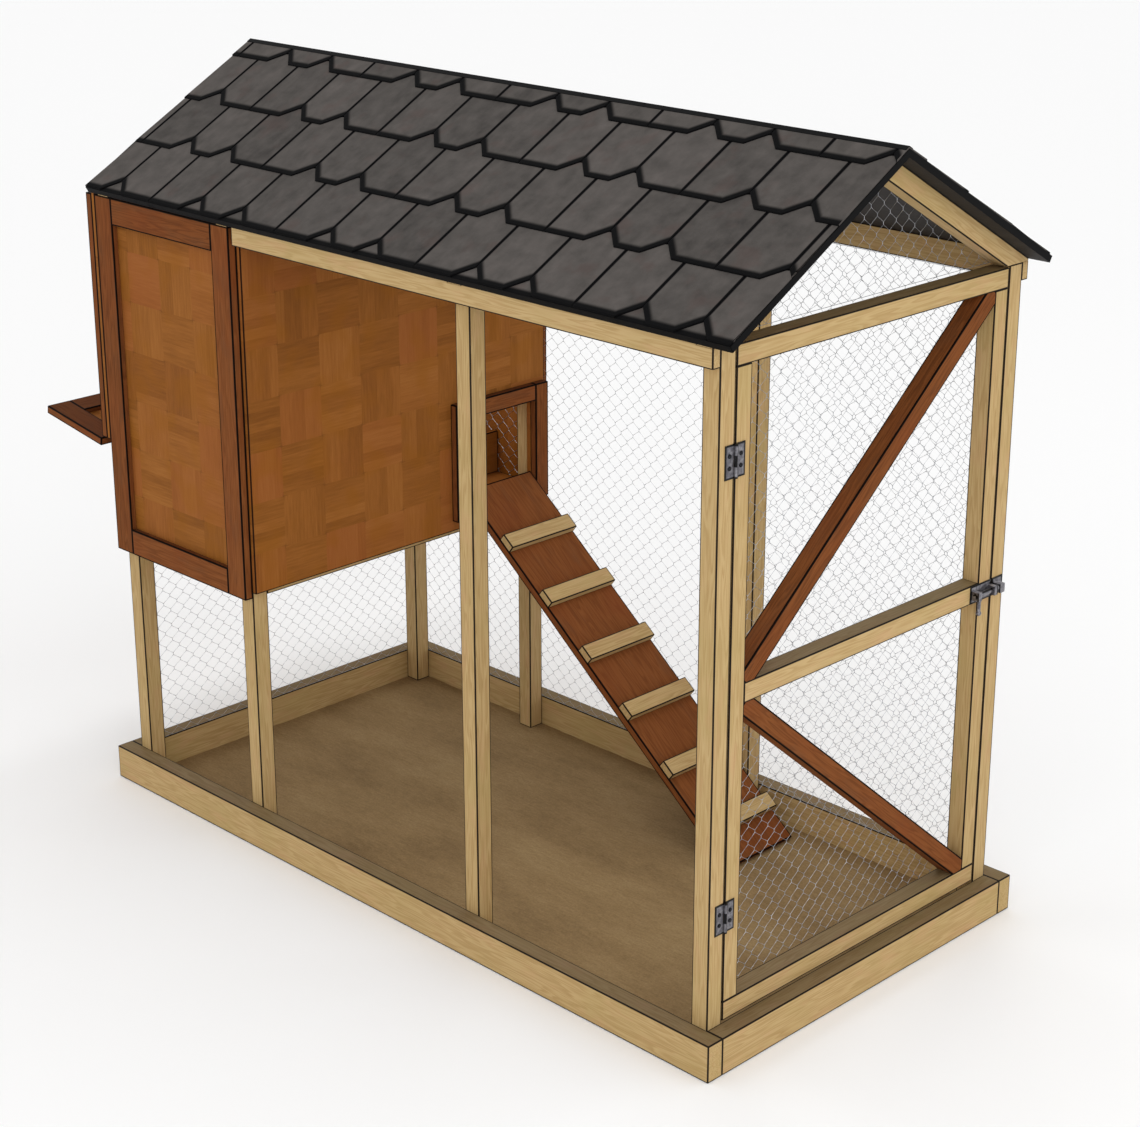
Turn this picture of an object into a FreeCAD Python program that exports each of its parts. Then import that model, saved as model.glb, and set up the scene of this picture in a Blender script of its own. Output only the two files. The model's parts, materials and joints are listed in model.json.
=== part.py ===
import FreeCAD, Part
import os
import re

# Chicken coop: a raised nesting box at one end of a netted run, under one gable roof.
# Millimetres. +X points along the run to the door end, -Y to the long open side, +Z up.
# The origin is on the ground, at the middle of the base frame.

doc = FreeCAD.newDocument("chicken_coop")
sheet = doc.addObject("Spreadsheet::Sheet", "dims")

SIZES = [
    # base frame and posts
    ("base_length", 1792), ("base_width", 910), ("base_height", 75), ("lumber", 38),
    ("floor_sheet", 3), ("frame_height", 1337), ("plate_height", 35), ("trim_board", 19),
    ("box_length", 441), ("mid_post_offset", 260.6),
    # roof
    ("pitch", 30), ("roof_sheet", 9), ("shingle", 4), ("shingle_exposure", 156),
    ("heel", 4.8), ("eave_overhang", 2.5), ("nest_overhang", 27), ("door_overhang", 44),
    ("drip_sheet", 1), ("cap_wing", 12),
    # nesting box
    ("box_bottom", 552), ("ply", 12), ("wall_drop", 12), ("panel_ply", 6), ("trim_width", 57),
    ("rabbet", 10), ("nest_width", 241), ("nest_depth", 286), ("nest_lip", 100), ("roost_height", 900),
    ("roost_setback", 65),
    # pop door and ramp
    ("pop_setback", 6), ("pop_width", 203), ("pop_trim_width", 38), ("pop_top", 820), ("pop_trim_drop", 14),
    ("ramp_run", 782), ("ramp_fit", 2), ("ramp_toe", 9.5), ("cleat_first", 144), ("cleat_pitch", 155),
    # egg flap at the nest end
    ("flap_line", 800), ("flap_drop", 207), ("flap_open", 98.5), ("flap_gap", 1.5), ("flap_clear", 1),
    ("flap_hinge_spread", 250), ("flap_hinge_length", 60), ("flap_leaf_width", 22),
    # netting
    ("netting", 1), ("netting_margin", 1),
    # run door
    ("door_gap", 3), ("mid_rail_height", 688), ("upper_hinge_drop", 198), ("lower_hinge_height", 288),
    ("door_hinge_length", 60), ("door_leaf_width", 25),
    # hinge and bolt hardware
    ("leaf_sheet", 1.5), ("knuckle_radius", 3.5), ("hinge_pin_radius", 1.5), ("pin_play", 0.05),
    ("knuckle_gap", 0.3), ("screw_head_radius", 4), ("screw_head_rise", 1.2), ("screw_inset", 19.5),
    ("bolt_radius", 5), ("bolt_play", 0.4), ("keeper_play", 1.2), ("bolt_travel", 25),
    ("bolt_plate_length", 64), ("bolt_plate_height", 36), ("guide_width", 10), ("guide_wall", 3.5),
    ("guide_inset", 3), ("bolt_inset", 2), ("bolt_setback", 4), ("keeper_gap", 2), ("keeper_width", 14),
    ("keeper_length", 32), ("handle_radius", 3.5), ("handle_drop", 37), ("knob_radius", 5.5),
]
for row, (alias, value) in enumerate(SIZES, start=1):
    sheet.set(f"A{row}", alias)
    sheet.set(f"B{row}", str(value))
    sheet.setAlias(f"B{row}", alias)
doc.recompute()

ALIASES = re.compile(r"\b(" + "|".join(alias for alias, value in SIZES) + r")\b")

# Lines and planes that several pieces share, worked out from the sizes above.
POST_X = "(base_length / 2 - lumber)"                      # outer face of the end posts
POST_Y = "(base_width / 2 - lumber)"                       # outer face of the posts, each side
PLATE_Y = f"({POST_Y} + trim_board)"                       # outer face of the top plates and near trim
WALL_X = f"(box_length - {POST_X})"                        # door-side face of the box posts
WALL_FACE = f"({WALL_X} + ply)"                            # door-side face of the box wall
NEST_FACE = f"({POST_X} + ply)"                            # inner face of the nest-end panel, on -X
NEST_TRIM = f"({NEST_FACE} + ply)"                         # outer face of that panel
NEST_OUT = f"({NEST_TRIM} + trim_board)"                   # outer face of the nest-end trim
RIDGE = f"(frame_height + heel + {PLATE_Y} * tan(pitch))"  # underside of the roof sheets at the ridge
ROOF_RUN = f"(({PLATE_Y} + eave_overhang) / cos(pitch))"   # underside of a roof sheet, ridge to eave
ROOF_X = f"(-{POST_X} - nest_overhang)"
ROOF_LENGTH = f"(2 * {POST_X} + nest_overhang + door_overhang)"
ROOF_SKIN = "(roof_sheet + shingle)"
BOX_FLOOR = "(box_bottom + lumber)"                        # underside of the box floor sheet
BOX_INSIDE = f"({BOX_FLOOR} + ply)"                        # top of the box floor sheet
SILL_TOP = f"({BOX_INSIDE} - pop_trim_drop + pop_trim_width)"      # top of the pop door's bottom trim
POP_FAR = f"({POST_Y} - lumber - pop_setback)"
POP_NEAR = f"({POP_FAR} - pop_width)"
RAMP_ANGLE = f"(atan(({SILL_TOP} - floor_sheet) / ramp_run))"
DOOR_Y = f"({POST_Y} - lumber - door_gap)"                 # edge of the run door, each side
DOOR_BOTTOM = "(base_height + door_gap)"
DOOR_TOP = "(frame_height - door_gap)"
HINGE_Y = f"(-{DOOR_Y} - door_gap / 2)"                    # pin line of the run door
HINGE_X = f"({POST_X} + knuckle_radius)"
BOLT_X = f"({POST_X} + leaf_sheet + guide_wall + bolt_radius + bolt_play)"
BOLT_Z = "(mid_rail_height + lumber / 2)"


def bind(item, prop, text):
    """Tie one property to an expression in which every size name stands for its sheet cell."""
    item.setExpression(prop, ALIASES.sub(r"dims.\1", str(text)))


def place(item, corner, turn_axis=None, turn=None):
    """Put an item's own origin at corner, turned about turn_axis."""
    if turn_axis is not None:
        item.Placement = FreeCAD.Placement(
            FreeCAD.Vector(), FreeCAD.Rotation(FreeCAD.Vector(*turn_axis), 1),
        )
        bind(item, ".Placement.Rotation.Angle", turn)
    for letter, text in zip("xyz", corner):
        bind(item, f".Placement.Base.{letter}", text)
    return item


def board(name, corner, size, turn_axis=None, turn=None):
    """A square-cut board or sheet from its lowest corner and its X, Y and Z sizes."""
    item = doc.addObject("Part::Box", name)
    for prop, text in zip(("Length", "Width", "Height"), size):
        bind(item, prop, text)
    return place(item, corner, turn_axis, turn)


def rod(name, start, radius, length, turn_axis=None, turn=None):
    """A round bar along its own Z axis."""
    item = doc.addObject("Part::Cylinder", name)
    bind(item, "Radius", radius)
    bind(item, "Height", length)
    return place(item, start, turn_axis, turn)


def boolean(kind, name, base, tool):
    """Part::Cut or Part::Common of two items."""
    item = doc.addObject(kind, name)
    item.Base = base
    item.Tool = tool
    return item


def fuse(name, pieces):
    item = doc.addObject("Part::MultiFuse", name)
    item.Shapes = pieces
    return item


def group(name, pieces):
    """Several separate solids that belong to one sub-part."""
    item = doc.addObject("Part::Compound", name)
    item.Links = pieces
    return item


parts = []


def finish(item, name):
    """Make an item a sub-part: its Label names its file."""
    item.Label = name
    parts.append(item)
    return item


# ---- base frame, run floor and posts ----

for name, low in (("base_rail_near", f"-{POST_Y} - lumber"), ("base_rail_far", POST_Y)):
    rail = board(name, ("-base_length / 2", low, "0"), ("base_length", "lumber", "base_height"))
    finish(rail, name)

for name, low in (("base_rail_nest_end", f"-{POST_X} - lumber"), ("base_rail_door_end", POST_X)):
    rail = board(name, (low, f"-{POST_Y}", "0"), ("lumber", f"2 * {POST_Y}", "base_height"))
    finish(rail, name)

run_floor = board(
    "run_floor", (f"-{POST_X}", f"-{POST_Y}", "0"), (f"2 * {POST_X}", f"2 * {POST_Y}", "floor_sheet"),
)
finish(run_floor, "run_floor")

FRAME_STATIONS = (
    ("nest_end", f"-{POST_X}"),
    ("box", f"{WALL_X} - lumber"),
    ("mid", "mid_post_offset - lumber"),
    ("door_end", f"{POST_X} - lumber"),
)
posts = {}
for station, x in FRAME_STATIONS:
    pair = []
    for side, y in (("near", f"-{POST_Y}"), ("far", f"{POST_Y} - lumber")):
        post = board(
            f"post_{station}_{side}",
            (x, y, "floor_sheet"),
            ("lumber", "lumber", "frame_height - floor_sheet"),
        )
        pair.append(post)
    posts[station] = finish(group(f"pair_{station}", pair), f"posts_{station}")

# ---- roof ----

SIDES = (("near", -1), ("far", 1))


def slope_board(name, side, x, length, upper, lower, lift, thickness):
    """A board lying with the roof slope: upper and lower are distances down the slope from the ridge,
    and lift is how far its underside is above the roof sheets' underside."""
    start = f"({lower})" if side < 0 else f"({upper})"
    y = f"{side} * ({start} * cos(pitch) + ({lift}) * sin(pitch))"
    z = f"{RIDGE} - {start} * sin(pitch) + ({lift}) * cos(pitch)"
    return board(
        name, (x, y, z), (length, f"({lower}) - ({upper})", thickness), (1, 0, 0), f"{-side} * pitch",
    )


def half_space(name, side, outer, bottom):
    """A block on one side of the ridge plane, out to outer and up from bottom, that trims roof timbers."""
    y = f"-({outer})" if side < 0 else "0"
    return board(name, ("-base_length", y, bottom), ("2 * base_length", outer, "base_length"))


for station, x in FRAME_STATIONS:
    pair = []
    for side_name, side in SIDES:
        key = f"{station}_{side_name}"
        stick = slope_board(
            f"stick_{key}", side, x, "lumber", "-lumber", f"{ROOF_RUN} + lumber", "-lumber", "lumber",
        )
        zone = half_space(f"zone_{key}", side, PLATE_Y, "frame_height")
        pair.append(boolean("Part::Common", f"rafter_{key}", stick, zone))
    finish(group(f"rafters_{station}", pair), f"rafters_{station}")

def under_roof(name, item):
    """Cut an upright board's top to the underside of both roof sheets."""
    for side_name, side in SIDES:
        above = slope_board(
            f"{name}_above_{side_name}", side, "-base_length", "2 * base_length",
            "-base_width", "base_width", "0", "base_width",
        )
        item = boolean("Part::Cut", f"{name}_{side_name}_slope", item, above)
    return item


# The top plates close the eaves: their top is planed to the roof and notched for the rafter feet.
for name, y in (("top_plate_near", f"-{PLATE_Y}"), ("top_plate_far", POST_Y)):
    blank = board(
        f"{name}_blank",
        (WALL_FACE, y, "frame_height - plate_height"),
        (f"{POST_X} - {WALL_FACE}", "trim_board", "plate_height + lumber"),
    )
    plate = under_roof(name, blank)
    for station, x in FRAME_STATIONS[2:]:
        foot = board(f"{name}_foot_{station}", (x, y, "frame_height"), ("lumber", "trim_board", "lumber"))
        plate = boolean("Part::Cut", f"{name}_notched_{station}", plate, foot)
    finish(plate, name)

COURSES = 4
for side_name, side in SIDES:
    slab = slope_board(
        f"slab_{side_name}", side, ROOF_X, ROOF_LENGTH, "-lumber", ROOF_RUN, "0", "roof_sheet",
    )
    zone = half_space(f"slab_zone_{side_name}", side, "base_width", "0")
    finish(boolean("Part::Common", f"sheet_{side_name}", slab, zone), f"roof_sheet_{side_name}")

    courses = []
    for course in range(COURSES):
        key = f"{side_name}_{course}"
        lower = f"({ROOF_RUN} - {course} * shingle_exposure)"
        upper = f"({lower} - shingle_exposure)" if course < COURSES - 1 else "(-lumber)"
        strip = slope_board(
            f"course_{key}", side, ROOF_X, ROOF_LENGTH, upper, lower, "roof_sheet", "shingle",
        )
        zone = half_space(f"course_zone_{key}", side, "base_width", "0")
        courses.append(boolean("Part::Common", f"shingle_course_{key}", strip, zone))
    finish(group(f"courses_{side_name}", courses), f"shingles_{side_name}")

    eave = slope_board(
        f"eave_drip_{side_name}", side, ROOF_X, ROOF_LENGTH,
        ROOF_RUN, f"({ROOF_RUN} + drip_sheet)", "0", ROOF_SKIN,
    )
    drips = [eave]
    for end, x in (("nest", f"{ROOF_X} - drip_sheet"), ("door", f"{ROOF_X} + {ROOF_LENGTH}")):
        key = f"{end}_{side_name}"
        rake = slope_board(f"rake_{key}", side, x, "drip_sheet", "-lumber", ROOF_RUN, "0", ROOF_SKIN)
        zone = half_space(f"rake_zone_{key}", side, "base_width", "0")
        drips.append(boolean("Part::Common", f"rake_drip_{key}", rake, zone))
    finish(group(f"drips_{side_name}", drips), f"drip_edge_{side_name}")

wings = []
for side_name, side in SIDES:
    wing = slope_board(
        f"wing_{side_name}", side, ROOF_X, ROOF_LENGTH, "-lumber", "cap_wing", ROOF_SKIN, "drip_sheet",
    )
    zone = half_space(f"wing_zone_{side_name}", side, "base_width", "0")
    wings.append(boolean("Part::Common", f"cap_{side_name}", wing, zone))
finish(fuse("cap", wings), "ridge_cap")

# ---- nesting box: floor, walls and panels ----

INNER_X = f"(-{POST_X} + lumber)"
SPAN_X = "(box_length - 2 * lumber)"
SPAN_Y = f"(2 * ({POST_Y} - lumber))"
bearers = [
    board("bearer_near", (INNER_X, f"-{POST_Y}", "box_bottom"), (SPAN_X, "lumber", "lumber")),
    board("bearer_far", (INNER_X, f"{POST_Y} - lumber", "box_bottom"), (SPAN_X, "lumber", "lumber")),
]
for joist, x in enumerate((f"-{POST_X}", f"-{POST_X} + (box_length - lumber) / 2", f"{WALL_X} - lumber")):
    bearers.append(
        board(f"joist_{joist}", (x, f"-{SPAN_Y} / 2", "box_bottom"), ("lumber", SPAN_Y, "lumber"))
    )
finish(group("floor_frame", bearers), "box_floor_frame")

deck = board("deck", (f"-{POST_X}", f"-{POST_Y}", BOX_FLOOR), ("box_length", f"2 * {POST_Y}", "ply"))
for corner, (x, y) in enumerate((
    (f"-{POST_X}", f"-{POST_Y}"), (f"-{POST_X}", f"{POST_Y} - lumber"),
    (f"{WALL_X} - lumber", f"-{POST_Y}"), (f"{WALL_X} - lumber", f"{POST_Y} - lumber"),
)):
    notch = board(f"notch_{corner}", (x, y, BOX_FLOOR), ("lumber", "lumber", "ply"))
    deck = boolean("Part::Cut", f"deck_notched_{corner}", deck, notch)
finish(deck, "box_floor")

wall = board(
    "wall_blank", (WALL_X, f"-{POST_Y}", "box_bottom + wall_drop"),
    ("ply", f"2 * {POST_Y}", f"{RIDGE} - box_bottom - wall_drop"),
)
pop_hole = board(
    "pop_hole", (WALL_X, POP_NEAR, BOX_INSIDE), ("ply", "pop_width", f"pop_top - {BOX_INSIDE}"),
)
wall = boolean("Part::Cut", "wall_with_pop", under_roof("wall", wall), pop_hole)
finish(wall, "box_wall")

POP_TRIM_BOTTOM = f"({BOX_INSIDE} - pop_trim_drop)"
POP_STILE = ("trim_board", "pop_trim_width", f"pop_top + pop_trim_width - {POP_TRIM_BOTTOM}")
POP_RAIL = ("trim_board", "pop_width", "pop_trim_width")
pop_trim = [
    board("pop_stile_near", (WALL_FACE, f"{POP_NEAR} - pop_trim_width", POP_TRIM_BOTTOM), POP_STILE),
    board("pop_stile_far", (WALL_FACE, POP_FAR, POP_TRIM_BOTTOM), POP_STILE),
    board("pop_head", (WALL_FACE, POP_NEAR, "pop_top"), POP_RAIL),
    board("pop_sill", (WALL_FACE, POP_NEAR, POP_TRIM_BOTTOM), POP_RAIL),
]
finish(group("pop_trim", pop_trim), "pop_door_trim")

TRIM_LENGTH = f"({WALL_X} + {NEST_FACE})"
TRIM_HEIGHT = "(frame_height - box_bottom)"
for side_name, side in SIDES:
    # The far panel and trim are fixed over the netting, so they stand out by its thickness.
    back = POST_Y if side < 0 else f"({POST_Y} + netting)"
    board_y = f"(-{back} - trim_board)" if side < 0 else back
    panel_y = f"(-{back} - panel_ply)" if side < 0 else back
    panel = board(
        f"panel_{side_name}",
        (f"-{NEST_FACE} + trim_width - rabbet", panel_y, "box_bottom + trim_width - rabbet"),
        (
            f"{TRIM_LENGTH} - 2 * (trim_width - rabbet)",
            "panel_ply",
            f"{TRIM_HEIGHT} - 2 * (trim_width - rabbet)",
        ),
    )
    finish(panel, f"box_panel_{side_name}")
    pieces = []
    for piece, x, z, length, height in (
        ("stile_nest", f"-{NEST_FACE}", "box_bottom", "trim_width", TRIM_HEIGHT),
        ("stile_wall", f"{WALL_X} - trim_width", "box_bottom", "trim_width", TRIM_HEIGHT),
        (
            "rail_low",
            f"-{NEST_FACE} + trim_width",
            "box_bottom",
            f"{TRIM_LENGTH} - 2 * trim_width",
            "trim_width",
        ),
        ("rail_top", f"-{NEST_FACE} + trim_width", "frame_height - trim_width",
         f"{TRIM_LENGTH} - 2 * trim_width", "trim_width"),
    ):
        blank = board(f"{piece}_{side_name}_blank", (x, board_y, z), (length, "trim_board", height))
        pieces.append(boolean("Part::Cut", f"{piece}_{side_name}", blank, panel))
    finish(group(f"trim_{side_name}", pieces), f"box_trim_{side_name}")

# ---- nest end: panel above the egg flap, its trim, packers and stops ----

UPPER = "(flap_line + flap_gap)"
end_panel = board(
    "end_blank", (f"-{NEST_TRIM}", f"-{PLATE_Y}", UPPER), ("ply", f"2 * {PLATE_Y}", f"{RIDGE} - {UPPER}"),
)
finish(under_roof("end", end_panel), "nest_end_panel")

END_RAIL = (f"2 * ({PLATE_Y} - trim_width)")
end_trim = [
    board(
        "end_stile_near",
        (f"-{NEST_OUT}", f"-{PLATE_Y}", UPPER),
        ("trim_board", "trim_width", f"frame_height - {UPPER}"),
    ),
    board("end_stile_far", (f"-{NEST_OUT}", f"{PLATE_Y} - trim_width", UPPER),
          ("trim_board", "trim_width", f"frame_height - {UPPER}")),
    board(
        "end_rail_low",
        (f"-{NEST_OUT}", f"-{PLATE_Y} + trim_width", UPPER),
        ("trim_board", END_RAIL, "trim_width"),
    ),
    board("end_rail_top", (f"-{NEST_OUT}", f"-{PLATE_Y} + trim_width", "frame_height - trim_width"),
          ("trim_board", END_RAIL, "trim_width")),
]
finish(group("end_trim", end_trim), "nest_end_trim")

packers = []
stops = []
for side_name, y in (("near", f"-{POST_Y}"), ("far", f"{POST_Y} - lumber")):
    packers.append(
        board(
            f"packer_{side_name}",
            (f"-{NEST_FACE}", y, UPPER),
            ("ply", "lumber", f"frame_height - {UPPER}"),
        )
    )
    stops.append(board(f"stop_{side_name}", (f"-{NEST_TRIM}", y, "box_bottom"),
                       ("2 * ply", "lumber", "flap_line - box_bottom")))
stops.append(
    board(
        "stop_sill", (f"-{NEST_TRIM}", f"-{SPAN_Y} / 2", "box_bottom"), ("2 * ply", SPAN_Y, "lumber + ply"),
    )
)
finish(group("packers", packers), "nest_packers")
finish(group("stops", stops), "flap_stops")

# ---- inside the box: nest dividers and roost ----

NEST_FRONT = f"(-{POST_X} + nest_depth)"
dividers = [
    board("nest_front", (NEST_FRONT, f"-{POST_Y}", BOX_INSIDE), ("ply", f"2 * {POST_Y}", "nest_lip")),
]
for key, y in (("near", "-(nest_width + ply) / 2 - ply / 2"), ("far", "(nest_width + ply) / 2 - ply / 2")):
    dividers.append(
        board(
            f"divider_{key}",
            (f"-{POST_X}", y, BOX_INSIDE),
            ("nest_depth", "ply", f"flap_line - {BOX_INSIDE}"),
        )
    )
finish(group("dividers", dividers), "nest_dividers")

roost = board(
    "roost", (f"{WALL_X} - roost_setback - lumber", f"-{POST_Y}", "roost_height"), (
        "lumber", f"2 * {POST_Y}", "lumber",
    ),
)
finish(roost, "roost_bar")

# ---- ramp ----


def ramp_point(along, lift):
    """A point on the ramp: along it from the wall face, and lift square to its underside."""
    x = f"({WALL_FACE} + {along} * cos({RAMP_ANGLE}) + {lift} * sin({RAMP_ANGLE}))"
    z = f"({SILL_TOP} - {along} * sin({RAMP_ANGLE}) + {lift} * cos({RAMP_ANGLE}))"
    return x, z


RAMP_Y = f"({POP_NEAR} + ramp_fit)"
RAMP_WIDTH = "(pop_width - 2 * ramp_fit)"
x, z = ramp_point("(-lumber)", "0")
plank = board(
    "plank", (x, RAMP_Y, z), (
        f"lumber + ramp_run / cos({RAMP_ANGLE}) + ramp_toe", RAMP_WIDTH, "trim_board",
    ),
    (0, 1, 0), RAMP_ANGLE,
)
ramp_zone = board("ramp_zone", (WALL_FACE, "0", "floor_sheet"), ("base_length", POST_Y, "frame_height"))
ramp = boolean("Part::Common", "ramp_ends", plank, ramp_zone)
sill_notch = board("sill_notch", (WALL_FACE, POP_NEAR, POP_TRIM_BOTTOM), POP_RAIL)
ramp = boolean("Part::Cut", "ramp_seated", ramp, sill_notch)
finish(ramp, "ramp_board")

CLEATS = 6
cleats = []
for number in range(CLEATS):
    x, z = ramp_point(f"(cleat_first + {number} * cleat_pitch - lumber / 2)", "trim_board")
    cleats.append(
        board(
            f"cleat_{number}", (x, RAMP_Y, z), ("lumber", RAMP_WIDTH, "trim_board"), (0, 1, 0), RAMP_ANGLE,
        )
    )
finish(group("cleats", cleats), "ramp_cleats")

# ---- netting, as flat sheets stapled to the timber ----

far_net = board(
    "far_net", (f"-{POST_X}", POST_Y, "base_height"),
    (f"2 * {POST_X}", "netting", "frame_height - plate_height - base_height"),
)
finish(far_net, "netting_far")
end_net = board(
    "end_net", (f"-{POST_X} - netting", f"-{POST_Y}", "base_height"),
    ("netting", f"2 * {POST_Y}", "box_bottom - base_height"),
)
finish(end_net, "netting_nest_end")
gable_net = board(
    "gable_net", (
        f"{POST_X} - lumber - netting", f"-{POST_Y} + netting_margin", "frame_height + netting_margin",
    ),
    ("netting", f"2 * ({POST_Y} - netting_margin)", f"{RIDGE} - frame_height - netting_margin"),
)
finish(under_roof("gable", gable_net), "netting_gable")

# ---- hinges: a three-knuckle butt hinge, pin along its own Z, leaves flat against the timber ----


def hinge_leaf(name, direction, length, width, knuckles):
    """One leaf. direction is +1 or -1 along Y; knuckles lists the thirds of the length that it holds."""
    clear = "(knuckle_radius + knuckle_gap)"
    low = clear if direction > 0 else f"(-{width})"
    plate = board(
        f"{name}_plate",
        ("-knuckle_radius", low, f"-{length} / 2"),
        ("leaf_sheet", f"{width} - {clear}", length),
    )
    pieces = [plate]
    for third in knuckles:
        bottom = f"({length} * {third} / 3 - {length} / 2 + knuckle_gap / 2)"
        height = f"({length} / 3 - knuckle_gap)"
        start = "0" if direction > 0 else f"(-{clear})"
        pieces.append(
            board(f"{name}_tab_{third}", ("-knuckle_radius", start, bottom), ("leaf_sheet", clear, height))
        )
        pieces.append(rod(f"{name}_knuckle_{third}", ("0", "0", bottom), "knuckle_radius", height))
    bore = rod(f"{name}_bore", ("0", "0", f"-{length} / 2"), "hinge_pin_radius + pin_play", length)
    return boolean("Part::Cut", name, fuse(f"{name}_blank", pieces), bore)


def hinge_screws(name, direction, length, width):
    """The two round screw heads on one leaf."""
    heads = []
    for key, sign in (("low", "-1"), ("high", "1")):
        y = f"{direction} * ({width} + knuckle_radius) / 2"
        z = f"{sign} * ({length} / 2 - screw_inset)"
        heads.append(rod(f"{name}_{key}", ("-knuckle_radius + leaf_sheet", y, z), "screw_head_radius",
                         "screw_head_rise", (0, 1, 0), "90"))
    return heads


DOOR_HINGES = (("upper", f"({DOOR_TOP} - upper_hinge_drop)"), ("lower", "lower_hinge_height"))
frame_leaves = []
door_leaves = []
pins = []
frame_screws = []
door_screws = []
for key, height in DOOR_HINGES:
    spot = (HINGE_X, HINGE_Y, height)
    frame_leaves.append(
        place(hinge_leaf(f"{key}_frame_leaf", -1, "door_hinge_length", "door_leaf_width", (0, 2)), spot)
    )
    door_leaves.append(
        place(hinge_leaf(f"{key}_door_leaf", 1, "door_hinge_length", "door_leaf_width", (1,)), spot)
    )
    pins.append(rod(f"{key}_pin", (HINGE_X, HINGE_Y, f"{height} - door_hinge_length / 2"), "hinge_pin_radius",
                    "door_hinge_length"))
    heads = group(
        f"{key}_frame_heads",
        hinge_screws(f"{key}_frame_screw", -1, "door_hinge_length", "door_leaf_width"),
    )
    frame_screws.append(place(heads, spot))
    heads = group(
        f"{key}_door_heads", hinge_screws(f"{key}_door_screw", 1, "door_hinge_length", "door_leaf_width"),
    )
    door_screws.append(place(heads, spot))
finish(group("frame_leaves", frame_leaves), "hinge_leaves_frame")
finish(group("pins", pins), "hinge_pins")
finish(group("frame_screws", frame_screws), "hinge_screws_frame")

# ---- run door ----

door_x = f"({POST_X} - lumber)"
BAY_Y = f"({DOOR_Y} - lumber)"
stiles = []
for key, y in (("hinge", f"-{DOOR_Y}"), ("latch", BAY_Y)):
    stiles.append(board(f"stile_{key}", (door_x, y, f"{DOOR_BOTTOM} + lumber"),
                        ("lumber", "lumber", f"{DOOR_TOP} - {DOOR_BOTTOM} - 2 * lumber")))
finish(group("stiles", stiles), "door_stiles")

rails = [
    board("rail_bottom", (door_x, f"-{DOOR_Y}", DOOR_BOTTOM), ("lumber", f"2 * {DOOR_Y}", "lumber")),
    board("rail_mid", (door_x, f"-{BAY_Y}", "mid_rail_height"), ("lumber", f"2 * {BAY_Y}", "lumber")),
    board(
        "rail_top", (door_x, f"-{DOOR_Y}", f"{DOOR_TOP} - lumber"), ("lumber", f"2 * {DOOR_Y}", "lumber"),
    ),
]
finish(group("rails", rails), "door_rails")

braces = []
for key, low, high, sign in (
    ("upper", "(mid_rail_height + lumber)", f"({DOOR_TOP} - lumber)", "1"),
    ("lower", f"({DOOR_BOTTOM} + lumber)", "mid_rail_height", "(-1)"),
):
    bay = board(f"{key}_bay", (door_x, f"-{BAY_Y}", low), ("lumber", f"2 * {BAY_Y}", f"{high} - {low}"))
    lean = f"(atan(({high} - {low}) / (2 * {BAY_Y})))"
    reach = f"({BAY_Y} / cos{lean} + lumber)"
    y = f"-{reach} * cos{lean} + {sign} * lumber / 2 * sin{lean}"
    z = f"({low} + {high}) / 2 - {sign} * {reach} * sin{lean} - lumber / 2 * cos{lean}"
    bar = board(
        f"{key}_bar", (door_x, y, z), ("lumber", f"2 * {reach}", "lumber"), (1, 0, 0), f"{sign} * {lean}",
    )
    braces.append(boolean("Part::Common", f"{key}_brace", bar, bay))
finish(group("braces", braces), "door_braces")

door_net = board(
    "door_net", (f"{door_x} - netting", f"-{DOOR_Y} + door_gap", f"{DOOR_BOTTOM} + door_gap"),
    ("netting", f"2 * ({DOOR_Y} - door_gap)", f"{DOOR_TOP} - {DOOR_BOTTOM} - 2 * door_gap"),
)
finish(door_net, "netting_door")
finish(group("door_leaves", door_leaves), "hinge_leaves_door")
finish(group("door_screws", door_screws), "hinge_screws_door")

# ---- barrel bolt and its keeper ----

PLATE_START = f"({DOOR_Y} - bolt_plate_length)"
GUIDE_HEIGHT = "(2 * (bolt_radius + bolt_play + guide_wall))"
KEEPER_START = f"({DOOR_Y} + door_gap + keeper_gap)"
BOLT_BACK = f"({PLATE_START} + bolt_inset)"
BOLT_LENGTH = "(bolt_plate_length - bolt_inset - bolt_setback)"


def bolt_guide(name, y, width, play):
    """A staple that the bolt runs through, standing on its plate."""
    depth = f"({GUIDE_HEIGHT} / 2 + {BOLT_X} - {POST_X} - leaf_sheet)"
    block = board(
        f"{name}_block",
        (f"{POST_X} + leaf_sheet", y, f"{BOLT_Z} - {GUIDE_HEIGHT} / 2"),
        (depth, width, GUIDE_HEIGHT),
    )
    hole = rod(
        f"{name}_hole", (BOLT_X, f"{y} + {width}", BOLT_Z), f"bolt_radius + {play}", width, (1, 0, 0), "90",
    )
    return boolean("Part::Cut", name, block, hole)


def bolt_plate(name, y, length):
    return board(
        name, (POST_X, y, f"{BOLT_Z} - bolt_plate_height / 2"), ("leaf_sheet", length, "bolt_plate_height"),
    )


latch = [
    bolt_plate("latch_base", PLATE_START, "bolt_plate_length"),
    bolt_guide("guide_inner", f"({PLATE_START} + guide_inset)", "guide_width", "bolt_play"),
    bolt_guide("guide_outer", f"({DOOR_Y} - guide_width - bolt_play)", "guide_width", "bolt_play"),
]
finish(fuse("latch", latch), "latch_plate")
keeper = [
    bolt_plate("keeper_base", KEEPER_START, "keeper_length"),
    bolt_guide("keeper_loop", f"({KEEPER_START} + guide_inset)", "keeper_width", "keeper_play"),
]
finish(fuse("keeper", keeper), "latch_keeper")

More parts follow.
